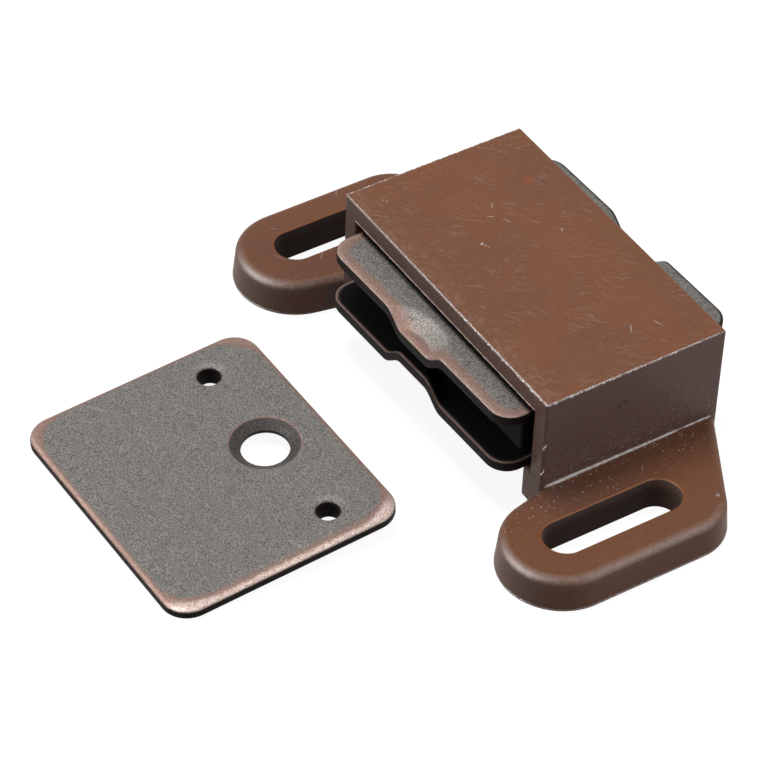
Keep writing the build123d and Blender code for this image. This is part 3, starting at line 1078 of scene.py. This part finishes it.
def halo(points, centre, radius):
    """The light that the dimple round a nib of this bore radius catches on its far side."""
    way = points[:, :2] - centre
    away = np.linalg.norm(way, axis=1)
    begin = smooth_step(away, radius + 0.05 * MM, radius + 0.3 * MM)
    end = 1 - smooth_step(away, radius + 0.5 * MM, radius + 1.3 * MM)
    return begin * end * smooth_step((0.56 * way[:, 1] - 0.83 * way[:, 0]) / away, 0.1, 0.9)


def strike_wear(s, points, centres):
    """The strike plate's values for the finish; centres holds the two nibs' and then the screw hole's.

    The cut outer wall is dull, the bores carry painted shade and the screw hole a weaker painted dark reflection, and
    the right end is rubbed bright and carries a painted highlight.
    """
    x = s.size_x / 2
    low, high = (-x, -s.size_y), (x, 0)
    edge = box_distance(points, low, high, s.corner)
    worn = np.maximum(box_distance(points, low, high, 1.8 * s.corner), 0)
    wall = 1 - smooth_step(edge, 0.01 * MM, 0.09 * MM)
    from_screw = np.linalg.norm(points[:, :2] - centres[2], axis=1)
    screw_side = from_screw < s.sink_radius + 0.2 * MM
    start = np.where(screw_side, 0.02 * MM, 0.1 * MM)
    # Painted shade in the bores, weaker in the countersink, where it stands for a dark reflection
    bores = np.where(edge > s.edge_round, smooth_step(s.thickness - points[:, 2] - start, 0.0, 0.09 * MM), 0.0)
    bores *= np.where(screw_side, 0.65, 1.0)
    # Painted highlight: the right end's edge band is made wider and brighter where the light catches it
    right = smooth_step(points[:, 0], x - 3 * MM, x - 1 * MM)
    nibs_halo = sum(halo(points, centre, s.nib_radius) for centre in centres[:2])
    return {
        "edge_mm": worn / MM * (1.5 - 0.75 * right),
        "rim_mm": np.abs(from_screw - s.sink_radius) / MM,
        "dull": np.maximum(wall, bores),
        "rub": 0.12 + 0.88 * right,
        "painted_sheen": 2.5 * nibs_halo,
    }


# Stage

# Square lamps that face the origin: name, place and side in metres, power in watts, and True for one that
# shows only in the gloss of a surface, False for one that lights only its plain colour
LAMPS = (
    ("key_light", (-0.34, -0.02, 1.05), 0.45, 7.8, False),
    ("back_softbox", (0.45, 0.41, 0.8), 0.35, 2.2, False),
    ("right_sheen", (0.86, 0.42, 0.2), 0.2, 5.0, True),
    ("back_sheen", (0.55, 0.41, 0.72), 0.45, 10.0, True),
    ("front_sheen", (-0.28, -0.8, 0.52), 1.0, 86.0, True),
)


def what_shows(nodes, links):
    """1 for rays from the camera, from a polished face and through glass, and 0 for the light on the object."""
    path = nodes.new("ShaderNodeLightPath")
    value = path.outputs["Is Camera Ray"]
    for name in ("Is Glossy Ray", "Is Transmission Ray"):
        larger = nodes.new("ShaderNodeMath")
        larger.operation = "MAXIMUM"
        links.new(value, larger.inputs[0])
        links.new(path.outputs[name], larger.inputs[1])
        value = larger.outputs[0]
    return value


def pale_floor():
    """A floor that shows as white with a faint shadow, and throws little light back on the object.

    It glows at 0.92 of white for the camera, and its own grey there makes up the rest with its shadows. What
    light it throws back comes from the darker grey alone.
    """
    w = Wiring("pale_floor")
    shows = what_shows(w.nodes, w.links)
    darker_grey, grey = (0.16, 0.16, 0.16), (0.2, 0.2, 0.2)
    w.set(
        Base_Color=w.mix(shows, darker_grey, grey),
        Roughness=1.0,
        Specular_IOR_Level=0.0,
        Emission_Color=(1.0, 1.0, 1.0),
        Emission_Strength=w.times(shows, 0.92),
    )
    return w.material


def light_tent(scene, sky):
    """An even world of faint light that shows as white behind the object."""
    world = scene.world or bpy.data.worlds.new("tent")
    scene.world = world
    world.use_nodes = True
    nodes, links = world.node_tree.nodes, world.node_tree.links
    nodes.clear()
    output = nodes.new("ShaderNodeOutputWorld")
    strength = nodes.new("ShaderNodeMapRange")
    links.new(what_shows(nodes, links), strength.inputs["Value"])
    strength.inputs["To Min"].default_value = sky
    strength.inputs["To Max"].default_value = 1.0
    background = nodes.new("ShaderNodeBackground")
    background.inputs["Color"].default_value = (1, 1, 1, 1)
    links.new(strength.outputs[0], background.inputs["Strength"])
    links.new(background.outputs[0], output.inputs["Surface"])


def add_camera(scene, s):
    """A long lens aimed at the target from the azimuth and elevation, then rolled about its line of sight."""
    data = bpy.data.cameras.new("camera")
    data.lens, data.sensor_width = s.focal_length, 36.0
    camera = bpy.data.objects.new("camera", data)
    scene.collection.objects.link(camera)
    az, el = s.azimuth, s.elevation
    sine, cosine = math.sin(s.roll), math.cos(s.roll)
    back = Vector((math.sin(az) * math.cos(el), -math.cos(az) * math.cos(el), math.sin(el)))
    right = Vector((0, 0, 1)).cross(back).normalized()
    up = back.cross(right)
    axes = Matrix((right * cosine + up * sine, up * cosine - right * sine, back)).transposed()
    camera.matrix_world = Matrix.Translation(Vector(s.target) + back * s.distance) @ axes.to_4x4()
    scene.camera = camera


# Operators


class CATCH_OT_bridge(bpy.types.Operator):
    """Make the housing's bridge with its guide ribs"""

    bl_idname = "catch.bridge"
    bl_label = "Bridge"

    def execute(self, context):
        h, look = context.scene.catch_housing, context.scene.catch_finishes
        x_in, middle, sunk = h.half_width - h.wall, (FRONT_Y + BACK_Y) / 2, 0.3 * MM
        low = (x_in - h.rib_depth, middle - h.rib_length / 2, h.ledge_height - sunk)
        high = (x_in + sunk, middle + h.rib_length / 2, TOP_Z - h.roof + sunk)
        rib = slab(low, high, 0.15 * MM)
        bars = [rib, mirrored(*rib)]
        make_piece("housing_bridge", [bridge_surface(h)], brown_plastic(look), "housing", "housing")
        make_piece("guide_ribs", bars, brown_plastic(look), "housing", "housing")
        return {"FINISHED"}


class CATCH_OT_ears(bpy.types.Operator):
    """Make the two slotted ears"""

    bl_idname = "catch.ears"
    bl_label = "Ears"

    def execute(self, context):
        h, look = context.scene.catch_housing, context.scene.catch_finishes
        for name, side in (("right_ear", 1), ("left_ear", -1)):
            points, faces, values = ear_surface(h, side)
            part = (points, faces) if side > 0 else mirrored(points, faces)
            make_piece(name, [part], brown_plastic(look), "housing", "housing", values)
        return {"FINISHED"}


class CATCH_OT_flash(bpy.types.Operator):
    """Make the moulding flash at the ears' roots and feet and the burrs on the roof's edges"""

    bl_idname = "catch.flash"
    bl_label = "Flash and burrs"

    def execute(self, context):
        h, look = context.scene.catch_housing, context.scene.catch_finishes
        # The bead's bluish white is painted highlight
        bead = torn_plastic("root_flash_plastic", look.plastic_scuff_and_sheen, look.flash_highlight)
        white = torn_plastic("whitened_plastic", look.plastic_scuff_and_sheen, look.plastic_pale)
        # The roof's lip and curls are coloured warm and pale; along the lower front edge this is painted highlight
        lip = torn_plastic("thin_lip_plastic", look.plastic_warm_and_highlight, look.plastic_scuff_and_sheen)
        for name, bars, material in (
            ("root_flash", root_flash(h), bead),
            ("roof_burrs", roof_burrs(h), white),
            ("foot_flash", foot_flash(h), white),
            ("roof_lip", roof_lip(h), lip),
        ):
            make_piece(name, bars, material, "housing", "housing")
        return {"FINISHED"}


class CATCH_OT_pole_plates(bpy.types.Operator):
    """Make the two pressed pole plates"""

    bl_idname = "catch.pole_plates"
    bl_label = "Pole plates"

    def execute(self, context):
        s, look = context.scene.catch_pack, context.scene.catch_finishes
        for name, low, high, upper in (
            ("upper", UPPER_LOW, UPPER_HIGH, True),
            ("lower", LOWER_LOW, LOWER_HIGH, False),
        ):
            (points, faces), values = pole_plate(s, upper)
            middle = (low + high) / 2
            inner_z = high[2] - s.plate_thickness if upper else low[2] + s.plate_thickness
            points = turned(points, s.twist, (middle[0], middle[1], inner_z))
            if upper:
                # Under the roof the plate lies in the shade
                covered = smooth_step(points[:, 1], FRONT_Y - 0.4 * MM, FRONT_Y) * (points[:, 1] < middle[1])
                values["inner"] = np.maximum(values["inner"], 0.9 * covered)
            node, parts, slot = name + "_pole_plate", [(points, faces)], "antique_copper_steel"
            make_piece(node + "_shell", parts, aged_steel(look), "pole_plates", node, values)
        return {"FINISHED"}


class CATCH_OT_magnet(bpy.types.Operator):
    """Make the ferrite block, darkened as painted shade"""

    bl_idname = "catch.magnet"
    bl_label = "Magnet"

    def execute(self, context):
        s, look = context.scene.catch_pack, context.scene.catch_finishes
        block = slab(MAGNET_LOW, MAGNET_HIGH, s.magnet_corner)
        make_piece("magnet_block", [block], ferrite(look), "magnet", "magnet")
        return {"FINISHED"}


class CATCH_OT_strike(bpy.types.Operator):
    """Make the strike plate with its countersunk hole and two pierced nibs"""

    bl_idname = "catch.strike"
    bl_label = "Strike plate"

    def execute(self, context):
        s, look = context.scene.catch_strike, context.scene.catch_finishes
        parts, values = strike_plate(s)
        tilt = math.atan2(s.nib_length, s.size_y - s.nib_inset - s.nib_radius - s.nib_wall)
        lay = np.array(Matrix.Rotation(s.turn, 3, "Z") @ Matrix.Rotation(tilt, 3, "X"))
        laid = [points @ lay.T for points, _ in parts]
        every = np.concatenate(laid)
        move = (STRIKE_LOW + STRIKE_HIGH) / 2 - (every.min(axis=0) + every.max(axis=0)) / 2
        move[2] = STRIKE_LOW[2] - every[:, 2].min()
        parts = [(points + move, faces) for points, (_, faces) in zip(laid, parts)]
        steel, slot = aged_steel(look), "antique_copper_steel"
        make_piece("strike_plate_shell", parts, steel, "housing", "strike_plate", values)
        return {"FINISHED"}


class CATCH_OT_stage(bpy.types.Operator):
    """Make the pale floor, the soft lights, the white surroundings and the camera"""

    bl_idname = "catch.stage"
    bl_label = "Stage"

    def execute(self, context):
        s = context.scene.catch_stage
        half = s.floor_size / 2
        mesh = bpy.data.meshes.new("floor")
        mesh.from_pydata([(-half, -half, 0), (half, -half, 0), (half, half, 0), (-half, half, 0)], [], [(0, 1, 2, 3)])
        mesh.materials.append(pale_floor())
        floor = bpy.data.objects.new("floor", mesh)
        context.scene.collection.objects.link(floor)
        for name, place, size, power, sheen in LAMPS:
            lamp = bpy.data.lights.new(name, "AREA")
            lamp.shape, lamp.size, lamp.energy = "SQUARE", size, power
            light = bpy.data.objects.new(name, lamp)
            light.location = place
            light.rotation_euler = Vector(place).to_track_quat("Z", "Y").to_euler()
            light.visible_diffuse, light.visible_glossy = not sheen, sheen
            context.scene.collection.objects.link(light)
        light_tent(context.scene, s.sky)
        add_camera(context.scene, s)
        context.scene.view_settings.view_transform = "Standard"
        return {"FINISHED"}


# Panel and registration

GROUPS = (
    ("catch_housing", HousingSizes),
    ("catch_pack", PackSizes),
    ("catch_strike", StrikeSizes),
    ("catch_finishes", Finishes),
    ("catch_stage", StageSettings),
)
OPERATORS = (
    CATCH_OT_bridge,
    CATCH_OT_ears,
    CATCH_OT_flash,
    CATCH_OT_pole_plates,
    CATCH_OT_magnet,
    CATCH_OT_strike,
    CATCH_OT_stage,
)


class CATCH_PT_pieces(bpy.types.Panel):
    """Lists the pieces of the magnetic catch"""

    bl_idname = "CATCH_PT_pieces"
    bl_label = "Magnetic catch"
    bl_space_type = "VIEW_3D"
    bl_region_type = "UI"
    bl_category = "Catch"

    def draw(self, context):
        """One button for each operator."""
        for operator in OPERATORS:
            self.layout.operator(operator.bl_idname)


def register():
    """Add the settings, the operators and the panel."""
    for name, group in GROUPS:
        bpy.utils.register_class(group)
        setattr(bpy.types.Scene, name, bpy.props.PointerProperty(type=group))
    for operator in OPERATORS:
        bpy.utils.register_class(operator)
    bpy.utils.register_class(CATCH_PT_pieces)


def unregister():
    """Take them away again, in the opposite order."""
    bpy.utils.unregister_class(CATCH_PT_pieces)
    for operator in reversed(OPERATORS):
        bpy.utils.unregister_class(operator)
    for name, group in reversed(GROUPS):
        delattr(bpy.types.Scene, name)
        bpy.utils.unregister_class(group)


def main():
    """Register the settings and operators, then make every piece and the stage."""
    register()
    bpy.ops.catch.bridge()
    bpy.ops.catch.ears()
    bpy.ops.catch.flash()
    bpy.ops.catch.pole_plates()
    bpy.ops.catch.magnet()
    bpy.ops.catch.strike()
    bpy.ops.catch.stage()


if __name__ == "__main__":
    main()
